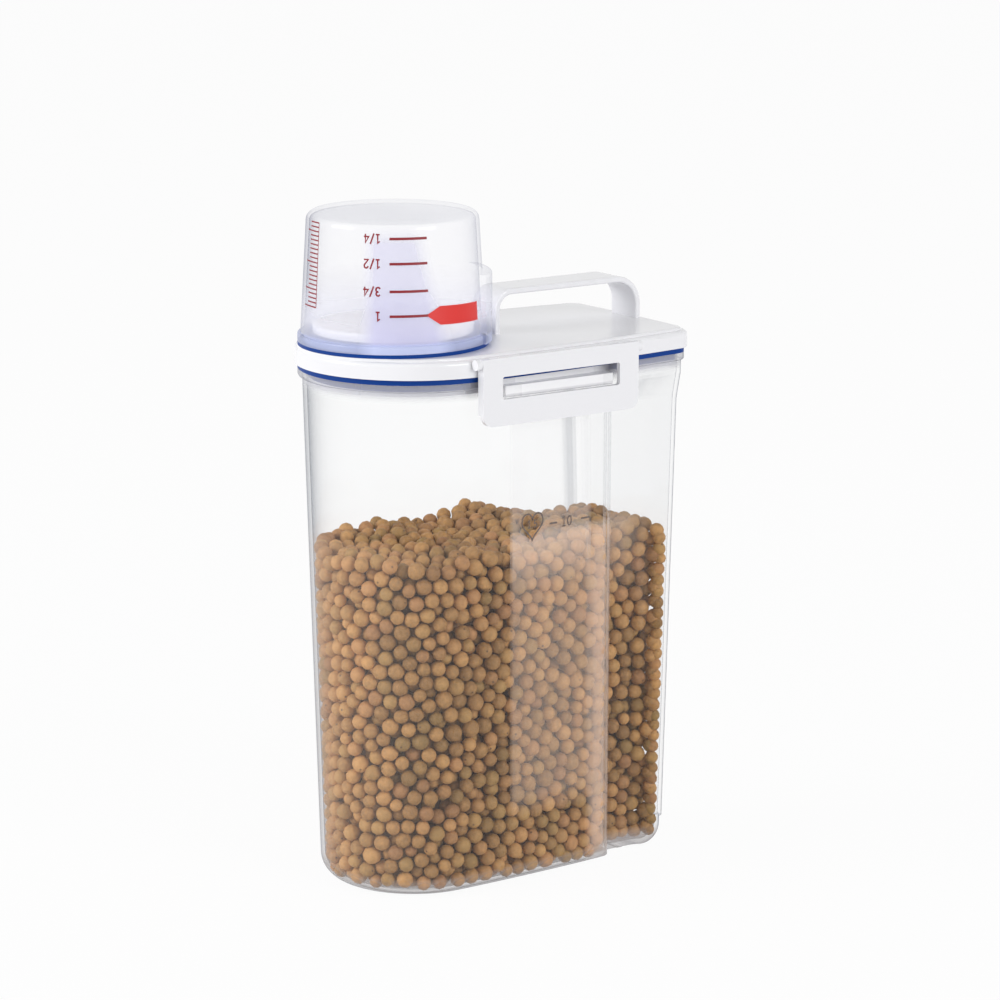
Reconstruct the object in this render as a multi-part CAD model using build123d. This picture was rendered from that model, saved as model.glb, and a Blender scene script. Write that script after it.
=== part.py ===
from build123d import *
from math import cos, radians, sin, sqrt, tan
import os

# Storage bin for dry pet food: a clear tapering body, a white lid with a seal and two side
# latches, a fixed carry handle, and a measuring cup that caps the pouring neck upside down.
# Millimetres. X runs along the bin from the rounded pouring nose to the flat back, Y across,
# Z up. The origin is on the floor, at the middle of the bin's length and width.

# Outline that the seal, the rim and the lid share
seal_width = 100.0
seal_length = 169.7
side_radius = 940.0
back_radius = 770.0
seal_corner_radius = 7.5
lid_overhang = 1.4

# Body
body_height = 230.0
body_wall = 1.8
body_floor = 2.4
rim_inset = 1.9
base_inset = 8.5
back_taper = 0.6
body_corner_radius = 3.2
base_roll_radius = 11.0
base_roll_corner_radius = 12.5
base_roll_lip_radius = 60.0
base_roll_margin = 0.03
base_edge_radius = 2.8
rim_flange_height = 3.4
rim_flange_fillet = 0.9
foot_height = 0.5
foot_width = 3.0
foot_inset = 11.5

# Grip recesses in the body's two long sides
grip_length_at_rim = 44.65
grip_length_at_base = 40.65
grip_half_width = 32.6
grip_post_at_rim = 41.0
grip_post_at_base = 31.4
grip_flank_angle = 63.0
grip_return_angle = 31.0
grip_lip_radius = 9.0
grip_floor_radius = 6.0
grip_return_radius = 8.0
grip_shelf_bottom = 208.5
grip_shelf_top = 220.5
grip_shelf_skin_lift = 0.6
grip_runout = 0.02

# Lid
lid_edge_height = 7.4
lid_plate = 2.2
lid_panel_rise = 1.2
lid_panel_inset = 2.8
lid_edge_fillet = 1.8
lid_panel_fillet = 0.8
plug_clearance = 1.2
plug_wall = 1.8
plug_depth = 5.7

# Seal between lid and body
seal_thickness = 2.4
seal_lip_thickness = 0.5
seal_lip_depth = 3.5

# Pouring neck and its seal
neck_cup_clearance = 0.6
neck_wall = 2.0
neck_height = 9.0
neck_edge_fillet = 0.7
neck_seal_thickness = 1.6
neck_seal_lip_height = 4.0
neck_seal_lip_wall = 1.6
neck_seal_bead = 3.2
neck_seal_bead_height = 1.4

# Measuring cup, in the place where it caps the neck
cup_flange_diameter = 82.8
cup_flange_height = 3.5
cup_flange_lip = 1.1
cup_narrowing = 3.25
cup_height = 56.2
cup_wall = 1.5
cup_end = 1.8
cup_end_radius = 4.0
cup_inner_end_radius = 2.4
cup_grip_angle = -28.0
cup_grip_arc = 54.0
cup_grip_reach = 2.5
cup_grip_height = 30.0
cup_grip_fillet = 1.2

# Carry handle
handle_height = 19.5
handle_width = 18.6
handle_thickness = 2.6
handle_front_gap = 6.0
handle_rear_gap = 1.8
handle_front_radius = 9.0
handle_back_radius = 13.0
handle_edge_fillet = 0.8
handle_tenon_thickness = 1.6
handle_tenon_inset = 2.0
handle_tenon_length = 3.4
handle_slot_clearance = 0.1

# Latches
latch_length = 82.0
latch_ahead = 4.5
latch_plate = 2.2
latch_reach_down = 27.0
latch_face_half_width = 56.3
latch_hinge_half_width = 53.7
latch_barrel_radius = 2.3
latch_barrel_length = 87.0
latch_corner_radius = 5.0
latch_side_flange = 1.7
latch_side_wall = 1.6
latch_window_length = 61.8
latch_window_height = 9.8
latch_window_drop = 5.9
latch_window_radius = 1.0
hinge_axis_below_top = 1.7
hinge_pin_radius = 1.1
hinge_fit = 0.05
hinge_eye_radius = 1.8
hinge_gap = 0.3
hinge_ear_width = 4.0
hinge_ear_spacing = 68.0
hinge_skin_angle = 68.0
latch_open_angle = 98.0
lid_travel = 30.0

# Lugs on the body that the latches hook under
lug_length = 57.0
lug_height = 5.0
lug_gap = 0.3
lug_overlap = 0.6
lug_end_fillet = 0.5

# Places worked out from the sizes
half_width = seal_width / 2
half_length = seal_length / 2 + lid_overhang
nose_x = half_width - seal_length / 2
back_apex_x = seal_length / 2
grip_start_at_rim = back_apex_x - grip_length_at_rim
grip_start_at_base = back_apex_x - grip_length_at_base
cup_x = nose_x - half_width - lid_overhang + cup_flange_diameter / 2
cup_mouth_diameter = cup_flange_diameter - 2 * cup_flange_lip
cup_top_diameter = cup_mouth_diameter - 2 * cup_narrowing
cup_grip_radius = cup_mouth_diameter / 2 + cup_grip_reach
neck_bore = cup_mouth_diameter - 2 * (cup_wall + neck_cup_clearance + neck_seal_bead + neck_wall)
handle_front_x = cup_x + cup_flange_diameter / 2 + handle_front_gap
handle_rear_x = half_length - lid_panel_inset - handle_rear_gap
handle_length = handle_rear_x - handle_front_x
rim_z = body_height
lid_bottom_z = rim_z + seal_thickness
lid_edge_z = lid_bottom_z + lid_edge_height
panel_z = lid_edge_z + lid_panel_rise
cup_rim_z = panel_z + neck_seal_thickness
hinge_z = lid_edge_z - hinge_axis_below_top
plug_inset = rim_inset + body_wall + plug_clearance


def root(function, low, high):
    """Return where a function that changes sign once between low and high is zero."""
    sign = function(low) > 0
    for _ in range(60):
        middle = (low + high) / 2
        if (function(middle) > 0) == sign:
            low = middle
        else:
            high = middle
    return (low + high) / 2


def side_half_width(x, inset):
    """Return the outline's half width at x behind the nose, on the long bowed side."""
    return sqrt((side_radius - inset) ** 2 - (x - nose_x) ** 2) - side_radius + half_width


def back_x(half, inset):
    """Return the outline's x on the slightly crowned back, at a half width."""
    return back_apex_x - back_radius + sqrt((back_radius - inset) ** 2 - half**2)


def corner(inset, rear):
    """Return the sharp back corner of the outline as x and half width."""
    x = root(lambda x: x - back_x(side_half_width(x, inset), rear), 0, back_apex_x)
    return x, side_half_width(x, inset)


def outline(inset, corner_radius, rear=None, tail=None, tail_radii=None):
    """Return the plan outline at an inset as a face.

    rear is the inset of the back where it differs. tail is the list of corner points from
    the long side to the back corner, as x and half width, and tail_radii are their radii.
    """
    rear = inset if rear is None else rear
    nose_radius = half_width - inset
    points = tail or [corner(inset, rear)]
    first, last = points[0], points[-1]
    middle_x = (nose_x + first[0]) / 2
    middle_y = side_half_width(middle_x, inset)
    edges = [ThreePointArc((nose_x, -nose_radius), (nose_x - nose_radius, 0), (nose_x, nose_radius))]
    for side in (-1, 1):
        start, end = (nose_x, side * nose_radius), (first[0], side * first[1])
        edges.append(ThreePointArc(start, (middle_x, side * middle_y), end))
        for start, end in zip(points, points[1:]):
            edges.append(Line((start[0], side * start[1]), (end[0], side * end[1])))
    edges.append(ThreePointArc((last[0], -last[1]), (back_x(0, rear), 0), last))
    face = make_face(edges)
    for point, radius in zip(points, tail_radii or [corner_radius]):
        for side in (-1, 1):
            place = Vector(point[0], side * point[1], 0)
            nearest = min(face.vertices(), key=lambda vertex: (Vector(vertex) - place).length)
            face = fillet(nearest, radius)
    ordered = face.wire().order_edges()
    start = max(range(len(ordered)), key=lambda index: ordered[index].length)
    return make_face(Wire(ordered[start:] + ordered[:start]))


def wall_inset(z):
    """Return how far the body's outer wall stands inside the seal's outline at a height."""
    return base_inset + (rim_inset - base_inset) * z / body_height


def meet(start, angle, other, other_angle):
    """Return where two lines in plan meet, each given by a point and its angle."""
    ux, uy = cos(angle), sin(angle)
    vx, vy = cos(other_angle), sin(other_angle)
    along = ((other[0] - start[0]) * vy - (other[1] - start[1]) * vx) / (ux * vy - uy * vx)
    return start[0] + along * ux, start[1] + along * uy


def back_inset(z):
    """Return how far the body's back wall stands inside the seal's outline at a height."""
    return rim_inset + back_taper * (1 - z / body_height)


def lip_x(z):
    """Return where a grip recess starts on the body's long side at a height."""
    return grip_start_at_base + (grip_start_at_rim - grip_start_at_base) * z / body_height


def post_corner(z):
    """Return the outer back corner behind a grip recess at a height."""
    half = grip_post_at_base + (grip_post_at_rim - grip_post_at_base) * z / body_height
    return back_x(half, back_inset(z)), half


def waist(z, skin=0.0, share=1.0):
    """Return the body's plan with its grip recesses at a height.

    skin moves the whole outline inwards by a wall, and share is the part of the recess's
    full depth.
    """
    inset, inner, rear = wall_inset(z), wall_inset(z) + skin, back_inset(z) + skin
    flank, back_flank = radians(grip_flank_angle), radians(grip_return_angle)
    start_x = lip_x(z)
    lip = start_x - skin * sin(flank), side_half_width(start_x, inset) - skin * cos(flank)
    post_x, post_half = post_corner(z)
    post = post_x + skin * sin(back_flank), post_half - skin * cos(back_flank)
    valley = 0.0, grip_half_width - inner
    front_low = meet(lip, -flank, valley, 0.0)
    back_low = meet(post, back_flank, valley, 0.0)

    def along(point, angle, distance):
        return point[0] + distance * cos(angle), point[1] + distance * sin(angle)

    def beyond_side(distance):
        x, half = along(lip, -flank, distance)
        return half - side_half_width(x, inner)

    def beyond_back(distance):
        x, half = along(post, back_flank, distance)
        return x - back_x(half, rear)

    def toward_side(point):
        level = side_half_width(point[0], inner)
        return point[0], level + share * (point[1] - level)

    reach = 4 * body_wall
    front_high = along(lip, -flank, root(beyond_side, -reach, reach))
    back_high = along(post, back_flank, root(beyond_back, -reach, reach))
    plain = corner(inner, rear)
    back_high = tuple(flat + share * (deep - flat) for flat, deep in zip(plain, back_high))
    tail = [front_high, toward_side(front_low), toward_side(back_low), back_high]
    radii = [grip_lip_radius - skin, grip_floor_radius + skin, grip_return_radius + skin, body_corner_radius - skin]
    return Pos(0, 0, z) * outline(inner, body_corner_radius, rear, tail, radii)


def base_hull(z, skin):
    """Return the body's plan with each recess bridged over, a hair larger than the body."""
    grow = base_roll_margin - skin
    inset, rear = wall_inset(z) - grow, back_inset(z) - grow
    start = lip_x(z), side_half_width(lip_x(z), inset)
    half = post_corner(z)[1] + grow
    tail = [start, (back_x(half, rear), half)]
    radii = [base_roll_lip_radius, base_roll_corner_radius - skin]
    return Pos(0, 0, z) * outline(inset, body_corner_radius, rear, tail, radii)


def base_roll(bottom_z, skin):
    """Return the tool that rolls the body's bottom edge with a large radius."""
    radius = base_roll_radius - skin
    hull = loft([base_hull(bottom_z - base_roll_margin, skin), base_hull(bottom_z + 2 * radius, skin)], ruled=True)
    hull = fillet(hull.faces().sort_by(Axis.Z)[0].edges(), radius)
    height = 1.5 * radius
    return Pos(0, 0, bottom_z + height / 2 - radius / 4) * Box(3 * half_length, 3 * half_width, height) - hull


def wall_shape(bottom_z, top_z, skin):
    """Return the solid inside the body's outer or inner wall surface."""
    lift = grip_shelf_skin_lift * skin
    low, high = grip_shelf_bottom + lift, grip_shelf_top + lift
    heights = [(bottom_z, 1.0), (low, 1.0), (high, grip_runout), (top_z, grip_runout)]
    wall = loft([waist(z, skin, share) for z, share in heights], ruled=True)
    wall = fillet(wall.faces().sort_by(Axis.Z)[0].edges(), base_edge_radius - skin * 0.9)
    return wall - base_roll(bottom_z, skin)


def make_lug(side):
    """Return one latch lug, whose underside slopes as the latch swings away from it."""
    root_y = side_half_width(latch_ahead + lug_length / 2, wall_inset(rim_z)) - body_wall / 2
    bar_y = latch_face_half_width - latch_plate
    bottom_z = hinge_z - latch_window_drop - latch_window_height + lug_gap
    profile = [
        (root_y, bottom_z),
        (bar_y, bottom_z),
        (bar_y + lug_overlap, bottom_z + lug_overlap * release_slope()),
        (bar_y + lug_overlap, bottom_z + lug_height),
        (root_y, bottom_z + lug_height),
    ]
    section = make_face(Polyline(*[(0, side * y, z) for y, z in profile], close=True))
    lug = Pos(latch_ahead - lug_length / 2, 0, 0) * extrude(section, lug_length, dir=(1, 0, 0))
    ends = lug.faces().sort_by(Axis.Y)[0 if side < 0 else -1].edges().filter_by(Axis.Z)
    return fillet(ends, lug_end_fillet)


def release_slope():
    """Return how steeply the latch's bar climbs as the lid lifts and the latch swings out."""
    bar_drop = latch_window_drop + latch_window_height
    swing_per_lift = radians(latch_open_angle) / lid_travel
    return 1.0 / (bar_drop * swing_per_lift)


def make_body():
    """Return the clear body with its rim flange, grip recesses, latch lugs and foot."""
    outer = wall_shape(foot_height, rim_z, 0.0)
    inner = wall_shape(foot_height + body_floor, rim_z + body_wall, body_wall)
    flange = extrude(Pos(0, 0, rim_z - rim_flange_height) * outline(0, seal_corner_radius), rim_flange_height)
    flange = fillet(flange.faces().sort_by(Axis.Z)[0].edges(), rim_flange_fillet)
    foot_outline = base_inset + foot_inset
    foot = extrude(outline(foot_outline, foot_width), foot_height * 2)
    foot -= extrude(outline(foot_outline + foot_width, 1.0), foot_height)
    body = outer + flange + make_lug(-1) + make_lug(1) - inner
    return body + (foot - make_foot_gap())


def make_foot_gap():
    """Return the blocks that keep the foot ring out of the grip recesses."""
    length = half_length - grip_start_at_base + grip_lip_radius * 2
    depth = half_width
    centre_x = grip_start_at_base - grip_lip_radius / 2 + length / 2
    clear_half = grip_half_width - base_inset - foot_width
    blocks = [
        Pos(centre_x, side * (clear_half + depth / 2), 0) * Box(length, depth, foot_height * 4) for side in (-1, 1)
    ]
    return blocks[0] + blocks[1]


def make_lid():
    """Return the lid: edge, raised panel, plug wall, pouring neck, hinge ears and handle slots."""
    edge = extrude(Pos(0, 0, lid_bottom_z) * outline(-lid_overhang, seal_corner_radius + lid_overhang), lid_edge_height)
    edge = fillet(edge.faces().sort_by(Axis.Z)[-1].edges(), lid_edge_fillet)
    panel_inset = lid_panel_inset - lid_overhang
    panel = extrude(
        Pos(0, 0, lid_bottom_z) * outline(panel_inset, seal_corner_radius - panel_inset), panel_z - lid_bottom_z
    )
    panel = fillet(panel.faces().sort_by(Axis.Z)[-1].edges(), lid_panel_fillet)
    seat = Pos(cup_x, 0, lid_bottom_z) * extrude(Circle(cup_flange_diameter / 2), panel_z - lid_bottom_z)
    plug = extrude(
        Pos(0, 0, rim_z - plug_depth) * outline(plug_inset, body_corner_radius - body_wall), lid_bottom_z - rim_z + plug_depth
    )
    hollow_inset = plug_inset + plug_wall
    hollow_height = panel_z - lid_plate - rim_z + plug_depth
    hollow = extrude(Pos(0, 0, rim_z - plug_depth) * outline(hollow_inset, plug_wall), hollow_height)
    neck_radius = neck_bore / 2 + neck_wall
    neck = Pos(cup_x, 0, panel_z - lid_plate) * extrude(Circle(neck_radius), lid_plate + neck_height)
    neck = fillet(neck.faces().sort_by(Axis.Z)[-1].edges(), neck_edge_fillet)
    bore = Pos(cup_x, 0, rim_z) * extrude(Circle(neck_bore / 2), panel_z + 2 * neck_height - rim_z)
    lid = edge + panel + seat + plug - hollow + neck - bore
    for side in (-1, 1):
        lid -= hinge_axis(0, side) * Cylinder(latch_barrel_radius + hinge_gap, latch_barrel_length + 2 * hinge_gap)
        for ear in (-1, 1):
            lid += make_ear(ear, side)
    for tenon in handle_tenons(handle_slot_clearance):
        lid -= tenon
    return lid


def hinge_axis(ear, side):
    """Return the place of one hinge eye, with its local Z along the hinge."""
    ear_x = latch_ahead + ear * hinge_ear_spacing / 2
    return Pos(ear_x, side * latch_hinge_half_width, hinge_z) * Rot(0, 90, 0)


def make_ear(ear, side):
    """Return one hinge ear of the lid, bored for the latch's pin."""
    ear_x = latch_ahead + ear * hinge_ear_spacing / 2
    root_y = side_half_width(ear_x, 0) - plug_wall
    arm_length = latch_hinge_half_width - root_y
    arm = Box(hinge_ear_width, arm_length, hinge_eye_radius, align=(Align.CENTER, Align.MIN, Align.MAX))
    arm = Pos(ear_x, root_y if side > 0 else -root_y - arm_length, hinge_z) * arm
    axis = hinge_axis(ear, side)
    eye = axis * Cylinder(hinge_eye_radius, hinge_ear_width)
    return eye + arm - axis * Cylinder(hinge_pin_radius + hinge_fit, hinge_ear_width * 2)


def make_latch(side):
    """Return one latch flap, closed, with its barrel, pin stubs, window and side flanges."""
    middle_y = latch_face_half_width - latch_plate / 2
    inner_y = latch_face_half_width - latch_plate
    top_z = hinge_z + latch_barrel_radius
    height = latch_reach_down + latch_barrel_radius
    plate = Pos(latch_ahead, middle_y, top_z - height / 2) * Box(latch_length, latch_plate, height)
    plate = fillet(plate.edges().filter_by(Axis.Y).sort_by(Axis.Z)[:2], latch_corner_radius)
    latch = plate + hinge_axis(0, 1) * Cylinder(latch_barrel_radius, latch_barrel_length)
    flange_height = latch_reach_down - latch_corner_radius
    for end in (-1, 1):
        flange_x = latch_ahead + end * (latch_length - latch_side_wall) / 2
        place = Pos(flange_x, inner_y - latch_side_flange / 2, hinge_z - flange_height / 2)
        latch += place * Box(latch_side_wall, latch_side_flange, flange_height)
    window_z = hinge_z - latch_window_drop - latch_window_height / 2
    window = Pos(latch_ahead, middle_y, window_z) * Box(latch_window_length, latch_plate * 4, latch_window_height)
    latch -= fillet(window.edges().filter_by(Axis.Y), latch_window_radius)
    for ear in (-1, 1):
        latch = latch - make_ear_slot(ear) + hinge_axis(ear, 1) * Cylinder(
            hinge_pin_radius, hinge_ear_width + 2 * hinge_gap
        )
    return latch if side > 0 else mirror(latch, Plane.XZ)


def make_ear_slot(ear):
    """Return the space in a latch that one ear sweeps, leaving a skin in front of the ear."""
    width = hinge_ear_width + 2 * hinge_gap
    reach = 3 * latch_barrel_radius
    axis = hinge_axis(ear, 1)
    swept = axis * Cylinder(hinge_eye_radius + hinge_gap, width)
    ear_x = latch_ahead + ear * hinge_ear_spacing / 2
    skin = radians(hinge_skin_angle)
    corners = [(0, 0), (cos(skin), sin(skin)), (0, 2), (-2, 2), (-2, -1), (0, -1)]
    points = [(0, latch_hinge_half_width + reach * y, hinge_z + reach * z) for y, z in corners]
    behind = extrude(make_face(Polyline(*points, close=True)), width, dir=(1, 0, 0))
    return swept + Pos(ear_x - width / 2, 0, 0) * behind


def handle_tenons(clearance):
    """Return the two feet that plug into the lid, each grown by a clearance."""
    front_x = handle_front_x + handle_thickness / 2
    rear_x = handle_rear_x - handle_thickness / 2
    size_x = handle_tenon_thickness + 2 * clearance
    size_y = handle_width - 2 * handle_tenon_inset + 2 * clearance
    return [
        Pos(x, 0, panel_z - handle_tenon_length / 2) * Box(size_x, size_y, handle_tenon_length + 2 * clearance)
        for x in (front_x, rear_x)
    ]


def make_handle():
    """Return the flat strap arch, with its feet plugged into the lid."""
    front = handle_front_x
    block = Pos(front + handle_length / 2, 0, panel_z + handle_height / 2) * Box(
        handle_length, handle_width, handle_height
    )
    top = block.edges().filter_by(Axis.Y).sort_by(Axis.Z)[-2:].sort_by(Axis.X)
    block = fillet(top[0], handle_front_radius)
    top = block.edges().filter_by(Axis.Y).sort_by(Axis.X)[-1]
    rear = [
        edge
        for edge in block.edges().filter_by(Axis.Y)
        if edge.center().X > front + handle_length - handle_thickness / 2
        and edge.center().Z > panel_z + handle_height - handle_thickness / 2
    ]
    block = fillet(rear, handle_back_radius)
    inner_length = handle_length - 2 * handle_thickness
    inner_height = handle_height - handle_thickness
    gap = Pos(front + handle_length / 2, 0, panel_z + inner_height / 2) * Box(inner_length, handle_width * 2, inner_height)
    front_edge = [
        edge
        for edge in gap.edges().filter_by(Axis.Y)
        if edge.center().X < front + handle_length / 2 and edge.center().Z > panel_z + inner_height / 2
    ]
    gap = fillet(front_edge, handle_front_radius - handle_thickness)
    rear_edge = [
        edge
        for edge in gap.edges().filter_by(Axis.Y)
        if edge.center().X > front + handle_length - 2 * handle_thickness and edge.center().Z > panel_z + inner_height / 2
    ]
    gap = fillet(rear_edge, handle_back_radius - handle_thickness)
    strap = block - gap
    rim = [
        edge
        for face in strap.faces().filter_by(Axis.Y)
        for edge in face.edges()
        if edge.center().Z > panel_z + handle_thickness / 4
    ]
    strap = fillet(rim, handle_edge_fillet)
    for tenon in handle_tenons(0.0):
        strap += tenon
    return strap


def make_lid_seal():
    """Return the seal between lid and body, with the lip that wipes the body's mouth."""
    flange = extrude(Pos(0, 0, rim_z) * outline(0, seal_corner_radius), seal_thickness)
    lip_inset = plug_inset - seal_lip_thickness
    lip = extrude(
        Pos(0, 0, rim_z - seal_lip_depth) * outline(lip_inset, body_corner_radius - body_wall), seal_lip_depth
    )
    hole = extrude(
        Pos(0, 0, rim_z - seal_lip_depth) * outline(plug_inset, body_corner_radius - body_wall),
        seal_lip_depth + seal_thickness,
    )
    return flange + lip - hole


def make_neck_seal():
    """Return the seal round the pouring neck, with the lip that the cup slides over."""
    neck_radius = neck_bore / 2 + neck_wall
    base = extrude(Circle(cup_flange_diameter / 2), neck_seal_thickness)
    lip = extrude(Circle(neck_radius + neck_seal_lip_wall), neck_seal_thickness + neck_seal_lip_height)
    bead_z = neck_seal_thickness + neck_seal_lip_height / 2 - neck_seal_bead_height / 2
    bead = Pos(0, 0, bead_z) * extrude(Circle(neck_radius + neck_seal_bead), neck_seal_bead_height)
    bead = fillet(bead.edges(), neck_seal_bead_height / 3)
    hole = extrude(Circle(neck_radius), 2 * (neck_seal_thickness + neck_seal_lip_height))
    return Pos(cup_x, 0, panel_z) * (base + lip + bead - hole)


def make_cup():
    """Return the measuring cup, upside down over the neck."""
    mouth, top = cup_mouth_diameter / 2, cup_top_diameter / 2
    outer = Cone(mouth, top, cup_height, align=(Align.CENTER, Align.CENTER, Align.MIN))
    outer = fillet(outer.edges().sort_by(Axis.Z)[-1], cup_end_radius)
    flange = extrude(Circle(cup_flange_diameter / 2), cup_flange_height)
    flange = fillet(flange.edges().sort_by(Axis.Z)[-1], (cup_flange_diameter - cup_mouth_diameter) / 3)
    grip = extrude(Circle(cup_grip_radius), cup_grip_height)
    grip = fillet(grip.edges().sort_by(Axis.Z)[-1], cup_grip_fillet)
    wedge_reach = cup_grip_radius * 2
    half_arc = radians(cup_grip_arc / 2)
    wedge = make_face(
        Polyline(
            (0, 0), (wedge_reach, -wedge_reach * tan(half_arc)), (wedge_reach, wedge_reach * tan(half_arc)), close=True
        )
    )
    grip = grip & (Rot(0, 0, cup_grip_angle) * extrude(wedge, cup_grip_height))
    inner_height = cup_height - cup_end
    inner_top = top + (mouth - top) * cup_end / cup_height - cup_wall
    inner = Cone(mouth - cup_wall, inner_top, inner_height, align=(Align.CENTER, Align.CENTER, Align.MIN))
    inner = fillet(inner.edges().sort_by(Axis.Z)[-1], cup_inner_end_radius)
    return Pos(cup_x, 0, cup_rim_z) * (outer + flange + grip - inner)


pieces = {
    "bin_body": make_body,
    "lid": make_lid,
    "lid_seal": make_lid_seal,
    "neck_seal": make_neck_seal,
    "measuring_cup": make_cup,
    "carry_handle": make_handle,
    "near_latch": lambda: make_latch(-1),
    "far_latch": lambda: make_latch(1),
}

os.makedirs("parts", exist_ok=True)
for name, make in pieces.items():
    export_step(make(), f"parts/{name}.step")
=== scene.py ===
"""Looks of the pet food storage bin, laid out as an add-on and run as a script."""
import math

import bpy
import numpy as np
from mathutils import Matrix, Vector


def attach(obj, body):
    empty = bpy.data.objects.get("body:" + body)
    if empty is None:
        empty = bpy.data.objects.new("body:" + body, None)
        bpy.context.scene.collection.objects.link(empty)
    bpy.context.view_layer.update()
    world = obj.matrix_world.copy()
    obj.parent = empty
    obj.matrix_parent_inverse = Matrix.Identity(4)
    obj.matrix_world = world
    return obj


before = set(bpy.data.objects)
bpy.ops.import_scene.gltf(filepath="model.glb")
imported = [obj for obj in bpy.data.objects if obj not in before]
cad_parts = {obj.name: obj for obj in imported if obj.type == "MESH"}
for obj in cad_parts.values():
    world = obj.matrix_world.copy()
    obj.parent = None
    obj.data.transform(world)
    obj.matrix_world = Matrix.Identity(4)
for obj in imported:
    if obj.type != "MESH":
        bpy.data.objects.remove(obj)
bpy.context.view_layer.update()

bl_info = {
    "name": "Pet Food Storage Bin",
    "version": (1, 0, 0),
    "blender": (4, 5, 0),
    "location": "View3D > Sidebar > Food Bin",
    "description": "Dresses the packed storage bin: clear walls, lid, seals, cup, printed scales and dry food",
    "category": "Object",
}

MM = 0.001


def linear(red, green, blue):
    """Return an 8 bit colour as linear light."""
    out = []
    for value in (red, green, blue):
        share = value / 255
        out.append(share / 12.92 if share <= 0.04045 else ((share + 0.055) / 1.055) ** 2.4)
    return tuple(out)


# Lengths are in millimetres unless a comment says metres. A soft step is a pair: edge, width.

# The bin's own sizes, as in the solids
WALL = 1.8
FLOOR = 2.9
RIM_Z = 230.0
NOSE_X = -34.85
HALF_WIDTH = 50.0
SIDE_RADIUS = 940.0
BACK_RADIUS = 770.0
BACK_APEX_X = 84.85
BASE_INSET = 8.5
RIM_INSET = 1.9
BACK_TAPER = 0.6
ROLL_RADIUS = 8.5
LIP_AT_RIM, LIP_AT_BASE = 40.2, 44.2
GRIP_HALF_WIDTH = 32.6
POST_AT_RIM, POST_AT_BASE = 41.0, 31.4
FLANK, RETURN = math.radians(63.0), math.radians(31.0)
CUP_AXIS_X = -44.85
CUP_RIM_Z, CUP_TOP_Z = 242.6, 298.8
CUP_RIM_RADIUS, CUP_TOP_RADIUS = 40.3, 37.05
BACK_HALF_CAP = 60.0

# The stage, in metres but for the lens and the camera's place
WORLD_LIGHT = 0.45
FLOOR_COLOUR = (0.86, 0.86, 0.87)
FLOOR_WHITE = 0.95
FLOOR_Z, FLOOR_HALF = -0.0003, 12.0
LAMPS = (
    ("left", (-1.85, 0.5, 0.85), (0.0, 0.0, 0.15), 1.1, 23.0),
    ("front", (0.4, -2.0, 0.85), (0.0, 0.0, 0.15), 1.0, 18.5),
)
LENS, SENSOR = 146.77, 36.0
NEAR_CLIP, FAR_CLIP = 0.01, 50.0
CAMERA_PLACE = (-1003.19, -1448.87, 545.06)
CAMERA_RIGHT = (0.81912, -0.57363, 0.0)
CAMERA_UP = (0.12071, 0.17236, 0.97761)
CAMERA_BACK = (-0.56078, -0.80078, 0.21043)

# Clear plastic: how fast its edge tint, its haze and its shine rise where it turns away
EDGE_POWER, HAZE_POWER, SHINE_POWER = 4.5, 1.3, 5.0
EDGE_MILK = 0.06
HEAD_ON_SHINE = 0.04
WALL_GLOSS = 0.3
SHINE_COLOUR = (0.93, 0.935, 0.95)

# Moulded plastic, the ripple in metres
RIPPLE = 0.0004
COAT_ROUGHNESS = 0.06

# The clear body: where its looks change
NEAR_SIDE = (-28.0, 1.0)
PANEL_LEFT, PANEL_LEFT_LEAN, PANEL_LEFT_EDGE = -10.7, 0.0211, 0.25
PANEL_RIGHT, PANEL_RIGHT_LEAN, PANEL_RIGHT_EDGE = 33.8, 0.0277, 0.7
PANEL_FOOT, PANEL_FADE = (36.0, 10.0), (146.0, 26.0)
CORNER_EDGE, CORNER_END = 5.0, (48.0, 3.0)
FLANK_START, FLANK_END = (46.0, 3.0), (65.0, 14.0)
LIP_START, LIP_END, LIP_TOP = (37.0, 2.0), (52.0, 2.0), (222.0, 2.0)
RIM_START = (223.0, 3.0)
LUG_SIDE, LUG_START, LUG_END = (47.5, 0.6), (-26.0, 1.0), (36.0, 1.0)
FILLED_TO = (158.0, 6.0)
BASE_TO = (7.0, 5.0)
NOSE_TO = (-50.0, 40.0)
REAR_FROM = (68.0, 4.0)

# The clear body: how milky each place is, and how strong its edge lines are. Some of the milk is painted
# reflection and some painted shade, as marked.
FROST_BY_FOOD, FROST_ALONE = 0.7, 0.3
FROST_AT_TOP, FROST_BELOW = 1.8, 0.8
# Painted reflection: milk on the recess corner and flank, over the food.
CORNER_REFLECTION, FLANK_REFLECTION = 1.9, 2.3
# Painted reflection: a pale pinkish veil on the wall over the food, thicker at the nose.
NOSE_PAINTED_REFLECTION, FOOD_PAINTED_REFLECTION = 0.03, 0.008
# The rim's and the foot's milk is painted shade: grey under the lid and at the foot. The lug's milk is its
# own.
RIM_PAINTED_SHADE, LUG_MILK, BASE_PAINTED_SHADE = 0.34, 0.5, 0.3
LIP_CALM, REAR_LINES = 0.75, 1.6
BODY_EDGE_TINT = (0.4, 0.42, 0.46)
EMPTY_COLOUR, FILLED_COLOUR = linear(248, 248, 250), linear(250, 230, 216)
# The grey colours of the painted shade under the rim and at the foot.
RIM_SHADE_COLOUR, BASE_SHADE_COLOUR = linear(205, 205, 212), linear(192, 185, 184)

# The level marks on the near side
LEVEL_DASHES = ((6.0, 10.2), (23.6, 28.3))
DASH_LOW, DASH_HIGH = 162.1, 162.9
LEVEL_PLACE, LEVEL_HEIGHT = (15.6, 162.5), 4.6
HEART_X, HEART_Z = -3.4, 162.4
HEART_WIDE, HEART_TALL, HEART_RISE = 5.7, 0.42, 0.9
HEART_LINE = 0.7
HEART_WORD_RISE, HEART_WORD_HEIGHT = 1.2, 3.6
MARK_BOLD = 0.13
MARK_COLOUR = linear(98, 86, 80)
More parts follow.
